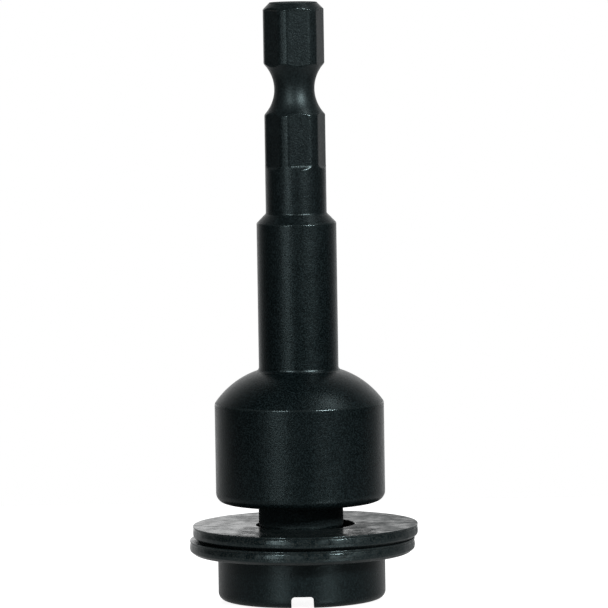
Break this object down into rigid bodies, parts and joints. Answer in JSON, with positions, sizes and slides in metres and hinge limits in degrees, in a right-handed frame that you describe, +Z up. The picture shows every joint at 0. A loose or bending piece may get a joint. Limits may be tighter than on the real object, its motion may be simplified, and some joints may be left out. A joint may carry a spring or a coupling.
{
  "type": "cut-off wheel mandrel",
  "caption": "Steel mandrel that holds a small cut-off wheel: hex drive shank with a locking groove, stepped neck, domed hub, loose washers and a slotted clamp screw.",
  "frame": {"origin": "on the axis of the mandrel, in the plane of the screw head's foot, on which the mandrel stands", "axes": "+Z up the axis towards the hex drive end; the screwdriver slot runs near the Y direction, and the camera looks along +Y"},
  "size_m": [0.0258, 0.0254, 0.0672],
  "materials": {
    "mandrel_steel": "turned steel with a satin black oxide finish",
    "screw_steel": "turned steel with a satin black oxide finish",
    "washer_steel": "stamped steel with a black oxide finish"
  },
  "bodies": {
    "mandrel": {"mandrel_body": "mandrel_steel"},
    "washers": {"lower_washer": "washer_steel", "upper_washer": "washer_steel"},
    "screw": {"clamp_screw": "screw_steel"}
  },
  "joints": [
    {"name": "screw_feed", "type": "slide", "parent": "mandrel", "child": "washers", "axis": [0, 0, 1], "range_m": [-0.01089, 0.00259]},
    {"name": "screw_turn", "type": "hinge", "parent": "washers", "child": "screw", "pos_m": [0, 0, 0], "axis": [0, 0, 1], "range_deg": [-4320, 1028]}
  ],
  "couplings": [
    {"joint": "screw_turn", "follows": "screw_feed", "rad_per_m": 6926.3}
  ]
}
